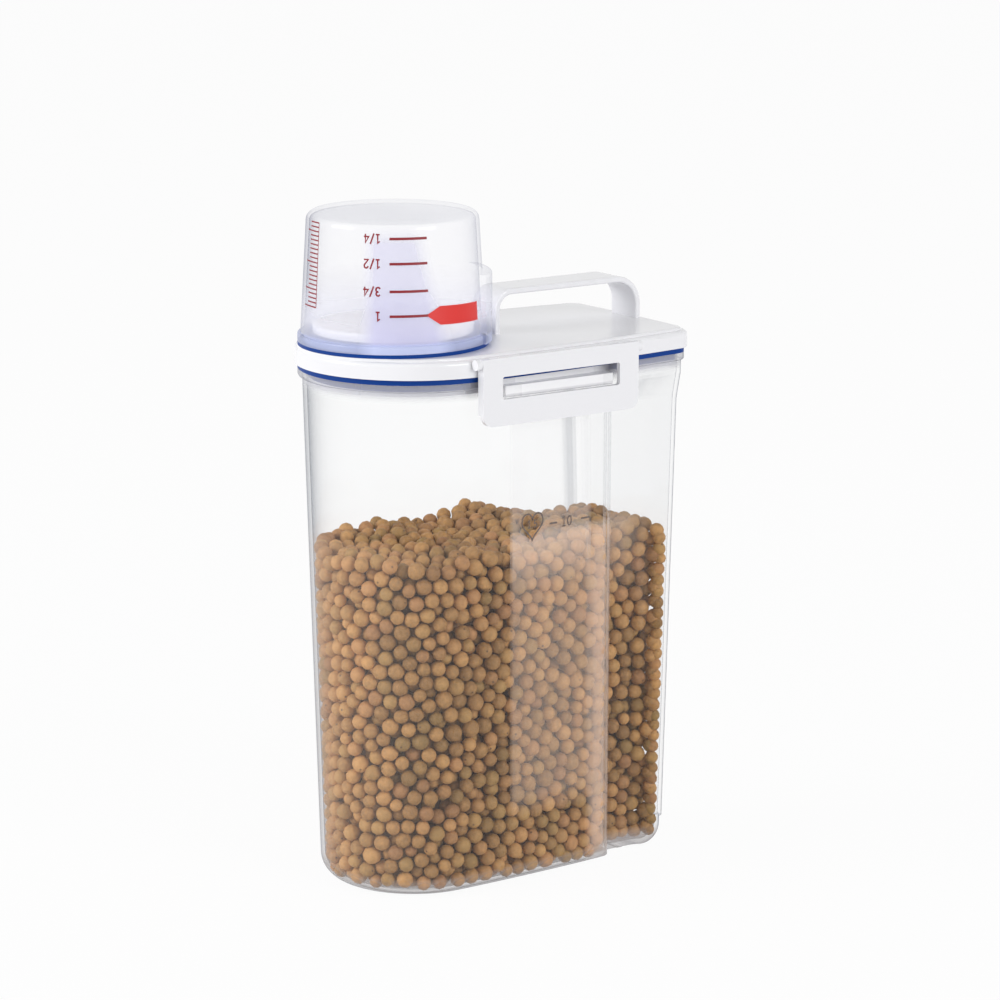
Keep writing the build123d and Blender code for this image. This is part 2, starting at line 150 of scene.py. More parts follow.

# The clear cup: where its looks change, in heights, degrees round it and lengths from its axis
# The next two lines place a painted reflection: a lavender band on the cup's near side, leaning with height.
REFLECTION_START, REFLECTION_END, REFLECTION_TOP = (-140.0, 10.0), (-98.0, 12.0), (293.0, 8.0)
REFLECTION_MIDDLE, REFLECTION_LEAN = 270.0, 0.35
CUP_TOP_FACE = (296.9, 0.6)
CUP_FOOT = (246.6, 1.2)
CUP_LOW = (262.0, 18.0)
CUP_REAR = (12.0, 20.0)

# The clear cup: how milky each place is, and how strong its edge lines are. The milk low down, at the foot and
# in the lavender band is painted reflection.
LOW_PAINTED_REFLECTION, SEAL_REFLECTION_SHARE, REFLECTION_MILK, CUP_MILK = 0.28, 0.24, 0.34, 0.004
REFLECTION_TINGE = 0.8
TOP_CALM, CUP_REAR_CALM = 0.82, 0.55
CUP_EDGE_TINT = (0.44, 0.45, 0.53)
# The second colour is the lavender of the painted reflection band.
CUP_COLOUR, REFLECTION_COLOUR = linear(244, 244, 253), linear(208, 206, 238)
# Painted reflection: the neck seal's blue, glowing in the cup's foot.
SEAL_REFLECTION_COLOUR = linear(204, 212, 246)

# The cup's printed scale, across it in degrees and up it in millimetres
CUP_LEVELS = (("1/4", 291.6), ("1/2", 281.0), ("3/4", 269.3), ("1", 258.8))
LEVEL_LEFT, LEVEL_RIGHT, LEVEL_HALF = -125.6, -101.0, 0.55
SINGLE_PLACE, PAIR_PLACE = -133.0, -137.0
FIGURE_HEIGHT, FIGURE_RADIUS, FIGURE_SPACING = 4.0, 38.5, 1.08
FLAG = (
    (-101.5, -93.0, (258.3, 254.4), (259.3, 262.4), 6),
    (-93.0, -58.0, (254.4, 253.6), (262.4, 261.6), 16),
)
TICKS, LONG_TICKS = 20, (2, 9, 15, 19)
TICK_TOP, TICK_STEP, TICK_HALF = 296.0, 1.9, 0.3
TICK_END, LONG_START, SHORT_START = 180.0, 164.0, 169.0
RAIL_LEFT, RAIL_RIGHT = 179.6, 180.2
FLAG_COLOUR = linear(214, 36, 30)
PRINT_LIFT, PRINT_THICKNESS = 0.03, 0.05

# The line of the food along each side, as (x, z)
NEAR_FOOD_LINE = (
    (-80.0, 150.0), (-70.0, 155.0), (-60.0, 149.0), (-46.0, 149.5), (-36.0, 153.0),
    (-19.0, 153.0), (-8.0, 149.5), (11.0, 149.0), (22.0, 151.0), (31.0, 155.0),
    (60.0, 152.0), (85.0, 151.0))
FAR_FOOD_LINE = (
    (-80.0, 152.0), (-50.0, 154.0), (-32.0, 155.0), (-10.0, 151.0), (5.0, 154.0),
    (20.0, 158.0), (32.0, 154.0), (45.0, 151.0), (85.0, 151.0))
FOOD_HALF_WIDTH = 44.0

# How the food is packed: where pellets start, how their sizes spread and how they settle
FOOD_LOW, FOOD_HIGH = (-85.0, -50.0, FLOOR), (86.0, 50.0, 162.0)
FOOD_TRIES = 120000
PACKED_SHARE = 0.62
RADIUS_SPREAD, RADIUS_LIMITS = 0.07, (0.84, 1.22)
BIG_SHARE, BIG_FACTOR = 0.03, 1.12
SETTLE_TURNS = 150
FALL_FROM, FALL_STEP = 0.7, 0.03
PAIR_REACH = 2.3
PUSH_SHARE, MOST_PUSH = 0.34, 4.0

# The small pellets beside the rear wall and down the rear corners
REAR_LOW, REAR_HIGH = (52.0, -46.0, FLOOR + 2), (86.0, 46.0, 156.0)
REAR_TRIES = 20000
GAP_PELLET, GAP_OVERLAP = 2.7, 1.7
CORNER_RADII, CORNER_STEPS = (2.7, 3.2), (4.2, 5.4)
CORNER_LIFT, CORNER_DROP = 4.0, 3.0
CORNER_X, CORNER_Y = 80.0, 35.0
CORNER_WALL_SHARE = 0.75

# Which pellets are outer or inner: depths from the walls and the top in pellet sizes, and
# the height under which all are outer
OUTER_WALLS, OUTER_TOP, OUTER_FLOOR = 1.1, 1.3, 8
INNER_WALLS, INNER_TOP = 2.1, 2.3

# The looks of the food. The lumps are in metres, and NO_PIT is a place out of reach.
SQUASH = (0.93, 1.03)
LUMP_HEIGHT = 0.35 * MM
LUMP_SCALE = 330.0
PITTED_SHARE, PIT_DEPTH, NO_PIT = 0.4, 0.97, 1.0
TONE_SHARE, MOTTLE_SHARE, SHADE_START = 0.72, 1.1, 0.1
DARK_FACTOR, PALE_FACTOR, PALE_LIFT = 0.55, 1.34, 0.03
WARM_FOOD, GREEN_FOOD = linear(176, 116, 84), linear(140, 122, 62)
SPECK_FOOD, PIT_FOOD = linear(112, 76, 44), linear(60, 38, 22)
# Painted shade: the dark browns of the heap's inside, standing for the shadow between pellets.
CORE_DARK, CORE_PALE = linear(58, 36, 20), linear(96, 64, 38)
# Painted light and shade on the food: pellets paler at the nose and behind the near side, darker elsewhere.
NOSE_PAINTED_LIGHT, SIDE_PAINTED_LIGHT, CORNER_PAINTED_LIGHT, PAINTED_SHADE_ELSEWHERE = 0.55, 0.22, 0.4, 0.1

# The inside of the heap: a dark mesh, painted shade for the gaps deep between the pellets
CORE_MIDDLE, CORE_TOP, CORE_SPAN = 38.0, 146.0, 140.0
CORE_LEVELS, CORE_TURNS, CORE_HALVINGS = 14, 48, 30


# --- The walls as maths, for the food and the marks ---

def wall_inset(z):
    """Return how far the sides stand inside the widest outline at a height."""
    return BASE_INSET + (RIM_INSET - BASE_INSET) * z / RIM_Z


def back_inset(z):
    """Return the same for the back wall, which leans less."""
    return RIM_INSET + BACK_TAPER * (1 - z / RIM_Z)


def side_half_width(x, inset):
    """Return the half width between the bowed sides."""
    return np.sqrt((SIDE_RADIUS - inset) ** 2 - (x - NOSE_X) ** 2) - SIDE_RADIUS + HALF_WIDTH


def back_x(half, inset):
    """Return where the bowed back stands."""
    return BACK_APEX_X - BACK_RADIUS + np.sqrt((BACK_RADIUS - inset) ** 2 - half ** 2)


def lip_x(z):
    """Return where the near edge of a grip recess starts."""
    return LIP_AT_BASE + (LIP_AT_RIM - LIP_AT_BASE) * z / RIM_Z


def post_half(z):
    """Return the half width at the rear corners."""
    return POST_AT_BASE + (POST_AT_RIM - POST_AT_BASE) * z / RIM_Z


def roll_inset(z):
    """Return what the rolled bottom edge takes off inside the wall."""
    radius = ROLL_RADIUS - WALL
    rise = np.clip(z - FLOOR, 0, radius)
    return radius - np.sqrt(radius ** 2 - (radius - rise) ** 2)


def pushes(points, reach):
    """Return, for each wall, how far points with this reach stand in it, and the way out."""
    x, y, z = points.T
    half = np.abs(y)
    sign = np.where(y < 0, -1.0, 1.0)
    inset = wall_inset(z) + WALL + roll_inset(z)
    zero = np.zeros_like(x)
    found = []

    nose = np.hypot(x - NOSE_X, y)
    depth = np.where(x < NOSE_X, nose - (HALF_WIDTH - inset - reach), -1.0)
    safe = np.maximum(nose, 1e-6)
    found.append((depth, np.stack([-(x - NOSE_X) / safe, -y / safe, zero], 1)))

    depth = np.where(x >= NOSE_X, half - side_half_width(x, inset + reach), -1.0)
    found.append((depth, np.stack([zero, -sign, zero], 1)))

    rear = back_inset(z) + WALL + roll_inset(z)
    depth = x - back_x(np.minimum(half, BACK_HALF_CAP), rear + reach)
    found.append((depth, np.stack([zero - 1, zero, zero], 1)))

    start = lip_x(z)
    side = side_half_width(start, wall_inset(z))
    flank = (x - start) * math.sin(FLANK) + (half - side) * math.cos(FLANK)
    flank = flank + WALL + roll_inset(z) + reach
    post = post_half(z)
    post_x = back_x(post, back_inset(z))
    back = -(x - post_x) * math.sin(RETURN) + (half - post) * math.cos(RETURN)
    back = back + WALL + roll_inset(z) + reach
    valley = half - (GRIP_HALF_WIDTH - inset - reach)
    least = np.minimum(np.minimum(flank, back), valley)
    ways = (
        (flank, np.stack([zero - math.sin(FLANK), -sign * math.cos(FLANK), zero], 1)),
        (back, np.stack([zero + math.sin(RETURN), -sign * math.cos(RETURN), zero], 1)),
        (valley, np.stack([zero, -sign, zero], 1)),
    )
    for depth, way in ways:
        found.append((np.where((least > 0) & (depth == least), depth, -1.0), way))

    found.append((FLOOR + reach - z, np.stack([zero, zero, zero + 1], 1)))
    return found


def wall_depth(points, reach):
    """Return how far points with this reach stand in any wall but the floor, below zero if clear."""
    return np.max([depth for depth, way in pushes(points, reach)[:-1]], axis=0)


def food_top(x, y):
    """Return the height of the heap of food over a place."""
    near, far = (np.interp(x, *zip(*line)) for line in (NEAR_FOOD_LINE, FAR_FOOD_LINE))
    share = np.clip((y / FOOD_HALF_WIDTH + 1) / 2, 0, 1)
    return near + (far - near) * share


# --- Packing the food ---

def near_pairs(points, reach):
    """Return the pairs of points that may be closer than reach, by sorting them into cells."""
    cells = np.floor(points / reach).astype(np.int64)
    cells -= cells.min(axis=0) - 1
    span = cells.max(axis=0) + 2
    keys = (cells[:, 0] * span[1] + cells[:, 1]) * span[2] + cells[:, 2]
    order = np.argsort(keys, kind="stable")
    ranked = keys[order]
    first, second = [], []
    for dx in (0, 1):
        for dy in (-1, 0, 1):
            for dz in (-1, 0, 1):
                if (dx, dy, dz) < (0, 0, 0):
                    continue
                step = (dx * span[1] + dy) * span[2] + dz
                low = np.searchsorted(ranked, keys + step, "left")
                count = np.searchsorted(ranked, keys + step, "right") - low
                for rank in range(int(count.max())):
                    here = np.nonzero(count > rank)[0]
                    there = order[low[here] + rank]
                    if step == 0:
                        keep = here < there
                        here, there = here[keep], there[keep]
                    first.append(here)
                    second.append(there)
    return np.concatenate(first), np.concatenate(second)


def pack_food(size, seed):
    """Return the places and radii of pellets that fill the bin to its heap."""
    rng = np.random.default_rng(seed)
    low, high = np.array(FOOD_LOW), np.array(FOOD_HIGH)
    tries = rng.uniform(low, high, (FOOD_TRIES, 3))
    free = (wall_depth(tries, 0.0) < 0) & (tries[:, 2] < food_top(tries[:, 0], tries[:, 1]))
    volume = free.mean() * np.prod(high - low)
    count = int(PACKED_SHARE * volume / (math.pi / 6 * size ** 3))
    points = tries[free][:count]
    radii = size / 2 * np.clip(rng.normal(1.0, RADIUS_SPREAD, len(points)), *RADIUS_LIMITS)
    big = rng.random(len(points)) < BIG_SHARE
    radii[big] *= BIG_FACTOR
    for turn in range(SETTLE_TURNS):
        falling = turn >= SETTLE_TURNS * FALL_FROM
        here, there = near_pairs(points, PAIR_REACH * size / 2)
        gap = points[there] - points[here]
        far = np.sqrt((gap ** 2).sum(axis=1)) + 1e-9
        over = radii[here] + radii[there] - far
        hit = over > 0
        here, there = here[hit], there[hit]
        move = gap[hit] / far[hit, None] * (PUSH_SHARE * over[hit, None])
        for axis in range(3):
            points[:, axis] += np.bincount(there, move[:, axis], len(points))
            points[:, axis] -= np.bincount(here, move[:, axis], len(points))
        if falling:
            points[:, 2] -= FALL_STEP
        else:
            highest = food_top(points[:, 0], points[:, 1]) - radii
            points[:, 2] = np.minimum(points[:, 2], highest)
        for depth, way in pushes(points, radii):
            points += way * np.clip(depth, 0, MOST_PUSH)[:, None]
    corner_points, corner_radii = corner_food(rng)
    points = np.concatenate([points, corner_points])
    radii = np.concatenate([radii, corner_radii])
    return fill_gaps(points, radii, rng)


def fill_gaps(points, radii, rng):
    """Add small pellets in the holes that are left beside the rear wall."""
    tries = rng.uniform(REAR_LOW, REAR_HIGH, (REAR_TRIES, 3))
    highest = food_top(tries[:, 0], tries[:, 1]) - GAP_PELLET
    tries = tries[(wall_depth(tries, GAP_PELLET) < 0) & (tries[:, 2] < highest)]
    for spot in tries:
        if (np.linalg.norm(points - spot, axis=1) - radii).min() > GAP_PELLET - GAP_OVERLAP:
            points = np.concatenate([points, [spot]])
            radii = np.append(radii, GAP_PELLET)
    return points, radii


def corner_food(rng):
    """Return small pellets down the two rear corners, where the others don't reach."""
    places, sizes = [], []
    for sign in (-1, 1):
        z = FLOOR + CORNER_LIFT
        while z < food_top(CORNER_X, sign * CORNER_Y) - CORNER_DROP:
            radius = rng.uniform(*CORNER_RADII)
            reach = CORNER_WALL_SHARE * WALL + radius
            half = post_half(z) - 4
            for _ in range(12):
                x = back_x(half, back_inset(z) + reach + roll_inset(z))
                post_x = back_x(post_half(z), back_inset(z))
                across = (x - post_x) * math.sin(RETURN) - reach
                half = post_half(z) + across / math.cos(RETURN)
            places.append((x, sign * half, z))
            sizes.append(radius)
            z += rng.uniform(*CORNER_STEPS)
    return np.array(places), np.array(sizes)


# --- Shader graphs ---

class Wire:
    """A socket that can stand in a sum: each operator adds the Math node that works it out."""

    def __init__(self, tree, socket):
        self.tree, self.socket = tree, socket

    def maths(self, operation, *values, clamp=False):
        node = self.tree.nodes.new("ShaderNodeMath")
        node.operation, node.use_clamp = operation, clamp
        for socket, value in zip(node.inputs, values):
            plug(self.tree, socket, value)
        return Wire(self.tree, node.outputs[0])

    def __add__(self, other):
        return self.maths("ADD", self, other)

    def __sub__(self, other):
        return self.maths("SUBTRACT", self, other)

    def __rsub__(self, other):
        return self.maths("SUBTRACT", other, self)

    def __mul__(self, other):
        return self.maths("MULTIPLY", self, other)

    def __truediv__(self, other):
        return self.maths("DIVIDE", self, other)

    def __pow__(self, other):
        return self.maths("POWER", self, other)

    __radd__ = __add__
    __rmul__ = __mul__

    def clamped(self):
        return self.maths("ADD", self, 0.0, clamp=True)

    def above(self, edge, soft):
        """Return 0 below edge and 1 above it, with a soft step."""
        if isinstance(edge, Wire):
            return ((self - edge) / soft + 0.5).clamped()
        return ((self - (edge - soft / 2)) / soft).clamped()

    def below(self, edge, soft):
        """Return 1 below edge and 0 above it, with a soft step."""
        return 1 - self.above(edge, soft)

    def most(self, other):
        return self.maths("MAXIMUM", self, other)

    def size(self):
        return self.maths("ABSOLUTE", self)


def plug(tree, socket, value):
    """Set a socket to a value or link it."""
    if isinstance(value, Wire):
        tree.links.new(value.socket, socket)
    elif isinstance(value, bpy.types.NodeSocket):
        tree.links.new(value, socket)
    elif socket.type == "RGBA" and len(value) == 3:
        socket.default_value = (*value, 1.0)
    else:
        socket.default_value = value


def add_node(tree, kind, settings=None, **values):
    """Add a node, its settings first, and then the values or links of its sockets.

    A socket goes by its name, with _ for a space, or by i and its number.
    """
    node = tree.nodes.new(kind)
    for key, value in (settings or {}).items():
        setattr(node, key, value)
    for key, value in values.items():
        label = key.replace("_", " ")
        numbered = label[0] == "i" and label[1:].isdigit()
        plug(tree, node.inputs[int(label[1:]) if numbered else label], value)
    return node


class Finish:
    """A material's nodes."""

    def __init__(self, name):
        self.material = bpy.data.materials.new(name)
        self.material.use_nodes = True
        self.tree = self.material.node_tree
        self.tree.nodes.clear()

    def node(self, kind, settings=None, **values):
        return add_node(self.tree, kind, settings, **values)

    def wire(self, node, output=0):
        return Wire(self.tree, node.outputs[output])

    def attribute(self, name, output):
        return self.node("ShaderNodeAttribute", {"attribute_name": name}).outputs[output]

    def spot(self):
        """Return the object coordinates in millimetres."""
        here = self.node("ShaderNodeTexCoord").outputs["Object"]
        scaled = self.node("ShaderNodeVectorMath", {"operation": "SCALE"}, i0=here, Scale=1 / MM)
        return scaled.outputs[0]

    def place(self):
        """Return the same as three wires."""
        parts = self.node("ShaderNodeSeparateXYZ", None, Vector=self.spot())
        return self.wire(parts, 0), self.wire(parts, 1), self.wire(parts, 2)

    def noise(self, vector, scale, detail):
        node = self.node("ShaderNodeTexNoise", None, Vector=vector, Scale=scale, Detail=detail)
        return self.wire(node)

    def mix(self, share, first, second):
        """Return a colour between two."""
        mixed = self.node("ShaderNodeMix", {"data_type": "RGBA"}, i0=share, i6=first, i7=second)
        return mixed.outputs[2]

    def blend(self, share, first, second):
        """Return a shader between two."""
        ends = {"i1": first.outputs[0], "i2": second.outputs[0]}
        return self.node("ShaderNodeMixShader", None, i0=share, **ends)

    def bump(self, height, distance):
        return self.node("ShaderNodeBump", None, Height=height, Distance=distance).outputs[0]

    def done(self, shader):
        out = self.node("ShaderNodeOutputMaterial", None, Surface=shader.outputs[0])
        out.is_active_output = True
        return self.material


def moulded(name, colour, roughness, coat=0.0, specular=0.5):
    """Return a moulded plastic finish: even, a little wavy and not quite evenly shiny."""
    finish = Finish(name)
    spot = finish.spot()
    wave = finish.noise(spot, 0.02, 0.0)
    grain = finish.noise(spot, 1.3, 3.0)
    shader = finish.node(
        "ShaderNodeBsdfPrincipled", None,
        Base_Color=finish.mix((grain - 0.3) * 0.6, tuple(0.98 * c for c in colour), colour),
        Roughness=roughness + (wave - 0.5) * 0.05 + (grain - 0.5) * 0.03,
        Normal=finish.bump(wave, RIPPLE),
    )
    shader.inputs["Coat Weight"].default_value = coat
    shader.inputs["Coat Roughness"].default_value = COAT_ROUGHNESS
    shader.inputs["Specular IOR Level"].default_value = specular
    return finish.done(shader)


def see_through(finish, tint, edge_tint, milk, share, lines):
    """Return a shader of thin clear plastic: a little milk in it, and greyer and glossier
    where it turns away. lines says how much greyer. Lamps shine through it."""
    away = finish.wire(finish.node("ShaderNodeLayerWeight", None, Blend=0.5), 1)
    middle = finish.node("ShaderNodeBsdfTransparent", None, Color=tint)
    edge = finish.node("ShaderNodeBsdfTransparent", None, Color=edge_tint)
    clear = finish.blend((away ** EDGE_POWER * lines).clamped(), middle, edge)
    haze = finish.node("ShaderNodeBsdfPrincipled", None, Base_Color=milk, Roughness=0.4)
    wall = finish.blend((share + away ** HAZE_POWER * EDGE_MILK).clamped(), clear, haze)
    shine = finish.node("ShaderNodeBsdfGlossy", None, Color=SHINE_COLOUR, Roughness=0.04)
    glint = away ** SHINE_POWER * (1 - HEAD_ON_SHINE) + HEAD_ON_SHINE
    wall = finish.blend(glint * WALL_GLOSS, wall, shine)
    lamp = finish.wire(finish.node("ShaderNodeLightPath"), 1)
    open_wall = finish.node("ShaderNodeBsdfTransparent", None, Color=tint)
    return finish.blend(lamp, wall, open_wall)


def dress(node, material):
    """Give a node of the frame its finish."""
    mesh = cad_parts[node].data
    mesh.materials.clear()
    mesh.materials.append(material)


# --- Meshes ---

def make_object(name, mesh, material=None):
    """Return a new object at the origin with this mesh."""
    thing = bpy.data.objects.new(name, mesh)
    bpy.context.scene.collection.objects.link(thing)
    if material is not None:
        mesh.materials.clear()
        mesh.materials.append(material)
    return thing


def applied(thing):
    """Turn an object's live modifiers into a plain mesh and remove them."""
    bpy.context.view_layer.update()
    evaluated = thing.evaluated_get(bpy.context.evaluated_depsgraph_get())
    mesh = bpy.data.meshes.new_from_object(evaluated)
    thing.modifiers.clear()
    thing.data = mesh
    return thing


class Print:
    """Flat printing in millimetres, gathered as points and faces and then laid on a wall."""

    def __init__(self):
        self.points, self.faces, self.shades = [], [], []

    def add(self, points, faces, shade=0):
        start = len(self.points)
        self.points += [tuple(p) for p in points]
        self.faces += [tuple(start + i for i in face) for face in faces]
        self.shades += [shade] * len(faces)

    def bar(self, left, right, low, high, shade=0, cuts=1):
        """Add a bar. low and high may change along it, given as pairs."""
        low = low if isinstance(low, tuple) else (low, low)
        high = high if isinstance(high, tuple) else (high, high)
        points = []
        for i in range(cuts + 1):
            share = i / cuts
            u = left + share * (right - left)
            points.append((u, low[0] + share * (low[1] - low[0])))
            points.append((u, high[0] + share * (high[1] - high[0])))
        faces = [(2 * i, 2 * i + 2, 2 * i + 3, 2 * i + 1) for i in range(cuts)]
        self.add(points, faces, shade)

    def line(self, path, width, closed=False):
        """Add a line of even width along a path, with mitred corners."""
        path = np.array(path, float)
        count = len(path)
        steps = np.roll(path, -1, axis=0) - path
        steps /= np.linalg.norm(steps, axis=1)[:, None] + 1e-9
        before = np.roll(steps, 1, axis=0)
        if not closed:
            steps[-1], before[0] = before[-1], steps[0]
        along = steps + before
        along /= np.linalg.norm(along, axis=1)[:, None] + 1e-9
        reach = width / 2 / np.maximum(0.6, (along * steps).sum(axis=1))
        side = np.stack([-along[:, 1], along[:, 0]], 1) * reach[:, None]
        faces = []
        for i in range(count if closed else count - 1):
            j = (i + 1) % count
            faces.append((i, j, count + j, count + i))
        self.add(np.concatenate([path - side, path + side]), faces)

    def text(self, words, centre, height, bold=0.17, turned=False, squeeze=1.0, spacing=1.0):
        """Add figures about a centre, upside down where turned."""
        start = -sum(GLYPHS[letter][0] for letter in words) * spacing / 2
        sign = -1 if turned else 1
        for letter in words:
            wide, strokes = GLYPHS[letter]
            shift = start + (wide * spacing - wide) / 2
            for stroke in strokes:
                drawn = Print()
                drawn.line([((shift + u) * height, (v - 0.5) * height) for u, v in stroke],
                           bold * height)
                self.add([(centre[0] + sign * u * squeeze, centre[1] + sign * v)
                          for u, v in drawn.points], drawn.faces)
            start += wide * spacing

    def lay(self, name, on_wall, materials):
        """Lay the printing on a wall, by a function of (across, up, lift), and thicken it."""
        count = len(self.points)
        flat = np.array(self.points)
        inner = on_wall(flat[:, 0], flat[:, 1], PRINT_LIFT)
        outer = on_wall(flat[:, 0], flat[:, 1], PRINT_LIFT + PRINT_THICKNESS)
        faces, shades, edges = list(self.faces), list(self.shades), {}
        for face, shade in zip(self.faces, self.shades):
            faces.append(tuple(count + i for i in reversed(face)))
            shades.append(shade)
            for a, b in zip(face, face[1:] + face[:1]):
                edges[(a, b)] = shade
        for (a, b), shade in edges.items():
            if (b, a) not in edges:
                faces.append((b, a, count + a, count + b))
                shades.append(shade)
        mesh = bpy.data.meshes.new(name)
        mesh.from_pydata((np.concatenate([outer, inner]) * MM).tolist(), [], faces)
        for material in materials:
            mesh.materials.append(material)
        mesh.polygons.foreach_set("material_index", shades)
        mesh.update()
        return make_object(name, mesh)


def arc(across, up, wide, tall, first, last, count=9):
    """Return points along part of an ellipse, between two angles in degrees."""
    turns = np.radians(np.linspace(first, last, count))
    return [(across + wide * math.cos(t), up + tall * math.sin(t)) for t in turns]


# The figures on the scales: how wide each is and its strokes, for a height of 1
GLYPHS = {
    "0": (0.68, [arc(0.32, 0.5, 0.22, 0.45, 90, 452, 21)]),
    "1": (0.66, [[(0.12, 0.76), (0.33, 0.95), (0.33, 0.05)], [(0.12, 0.05), (0.54, 0.05)]]),
    "2": (0.68, [arc(0.31, 0.71, 0.21, 0.24, 170, -35) + [(0.08, 0.05), (0.56, 0.05)]]),
    "3": (0.68, [arc(0.29, 0.73, 0.2, 0.22, 160, -80) + arc(0.29, 0.28, 0.23, 0.23, 80, -160)]),
    "4": (0.68, [[(0.42, 0.0), (0.42, 0.95), (0.06, 0.28), (0.6, 0.28)]]),
    "5": (0.68, [[(0.54, 0.95), (0.16, 0.95), (0.12, 0.55)]
                 + arc(0.3, 0.32, 0.23, 0.27, 125, -150)]),
    "/": (0.52, [[(0.04, -0.06), (0.44, 1.06)]]),
    ".": (0.3, [[(0.14, 0.0), (0.14, 0.15)]]),
}


def on_cup(across, up, lift):
    """Return places on the cup's outside. across is an angle in degrees and up a height."""
    rise = (up - CUP_RIM_Z) / (CUP_TOP_Z - CUP_RIM_Z)
    radius = CUP_RIM_RADIUS + (CUP_TOP_RADIUS - CUP_RIM_RADIUS) * rise + lift
    turn = np.radians(across)
    return np.stack([CUP_AXIS_X + radius * np.cos(turn), radius * np.sin(turn), up], 1)


def on_near_side(across, up, lift):
    """Return places on the outside of the near wall."""
    return np.stack([across, -side_half_width(across, wall_inset(up)) - lift, up], 1)


def ink(name, colour):
    """Return a printed finish."""
    finish = Finish(name)
    patchy = finish.noise(finish.spot(), 3.0, 2.0)
    thin = tuple(min(1, 1.5 * c + 0.02) for c in colour)
    shader = finish.node(
        "ShaderNodeBsdfPrincipled", None,
        Base_Color=finish.mix(patchy * 0.35, colour, thin), Roughness=0.38 + patchy * 0.1)
    return finish.done(shader)


# --- What a user would change ---

class FoodBinLooks(bpy.types.PropertyGroup):
    """Sizes and colours of the dressed bin"""

    pellet_size: bpy.props.FloatProperty(
        name="Pellet Size", description="Diameter of the dry food's pellets",
        default=0.007, min=0.004, max=0.012, unit="LENGTH")
    pellet_seed: bpy.props.IntProperty(
        name="Pellet Seed", description="Chooses how the food lies", default=7, min=0)
    pellet_colour: bpy.props.FloatVectorProperty(
        name="Pellet Colour", description="Middle colour of the dry food", subtype="COLOR",
        default=linear(182, 134, 72), min=0, max=1)
    plastic_colour: bpy.props.FloatVectorProperty(
        name="Plastic Colour", description="Colour of the lid, the latches and the handle",
        subtype="COLOR", default=linear(243, 243, 246), min=0, max=1)
    seal_colour: bpy.props.FloatVectorProperty(
        name="Seal Colour", description="Colour of both seals", subtype="COLOR",
        default=linear(10, 60, 138), min=0, max=1)
    body_tint: bpy.props.FloatVectorProperty(
        name="Body Tint", description="Tint of the clear body", subtype="COLOR",
        default=(0.997, 0.998, 0.998), min=0, max=1)
    cup_tint: bpy.props.FloatVectorProperty(
        name="Cup Tint", description="Tint of the clear cup", subtype="COLOR",
        default=(0.995, 0.995, 0.999), min=0, max=1)
    print_colour: bpy.props.FloatVectorProperty(
        name="Print Colour", description="Colour of the cup's printed scale", subtype="COLOR",
        default=linear(132, 10, 26), min=0, max=1)
    # This also scales the painted reflection on the recess corner and flank, besides the panel's frost.
    frost_and_reflection: bpy.props.FloatProperty(
        name="Frost", description="How milky the panel on the near side is", subtype="FACTOR",
        default=0.115, min=0, max=1)


class FOODBIN_OT_stage(bpy.types.Operator):
    """Set up the floor, the light and the camera"""

    bl_idname = "foodbin.stage"
    bl_label = "Stage"

    def execute(self, context):
        scene = context.scene
        scene.view_settings.view_transform = "Standard"
        world = bpy.data.worlds.new("Studio")
        world.use_nodes = True
        scene.world = world
        tree = world.node_tree
        tree.nodes.clear()
        strength = seen_directly(tree) * (1 - WORLD_LIGHT) + WORLD_LIGHT
        glow = add_node(tree, "ShaderNodeBackground", None, Color=(1, 1, 1), Strength=strength)
        add_node(tree, "ShaderNodeOutputWorld", None, Surface=glow.outputs[0])

        for name, place, aim, wide, power in LAMPS:
            lamp = bpy.data.lights.new(name, "AREA")
            lamp.shape, lamp.size, lamp.energy = "SQUARE", wide, power
            thing = bpy.data.objects.new(name, lamp)
            scene.collection.objects.link(thing)
            turn = (Vector(aim) - Vector(place)).to_track_quat("-Z", "Y").to_matrix().to_4x4()
            thing.matrix_world = Matrix.Translation(place) @ turn

        finish = Finish("Pale Floor")
        matt = finish.node("ShaderNodeBsdfDiffuse", None, Color=FLOOR_COLOUR)
        white = finish.node("ShaderNodeEmission", None, Color=(1, 1, 1), Strength=1.0)
        seen = seen_directly(finish.tree)
        material = finish.done(finish.blend(seen * FLOOR_WHITE, matt, white))
        ways = ((-1, -1), (1, -1), (1, 1), (-1, 1))
        corners = [(FLOOR_HALF * x, FLOOR_HALF * y, FLOOR_Z) for x, y in ways]
        mesh = bpy.data.meshes.new("floor")
        mesh.from_pydata(corners, [], [(0, 1, 2, 3)])
        make_object("floor", mesh, material)

        camera = bpy.data.cameras.new("Camera")
        camera.lens, camera.sensor_width = LENS, SENSOR
        camera.clip_start, camera.clip_end = NEAR_CLIP, FAR_CLIP
        eye = bpy.data.objects.new("Camera", camera)
        scene.collection.objects.link(eye)
        columns = zip(CAMERA_RIGHT, CAMERA_UP, CAMERA_BACK)
        turn = Matrix([list(row) for row in columns]).to_4x4()
        eye.matrix_world = Matrix.Translation([c * MM for c in CAMERA_PLACE]) @ turn
        scene.camera = eye
        return {"FINISHED"}


def seen_directly(tree):
    """Return 1 for what the camera sees, also by reflection or through glass, and 0 for light."""
    path = tree.nodes.new("ShaderNodeLightPath").outputs
    seen = Wire(tree, path["Is Camera Ray"]).most(Wire(tree, path["Is Glossy Ray"]))
    return seen.most(Wire(tree, path["Is Transmission Ray"]))


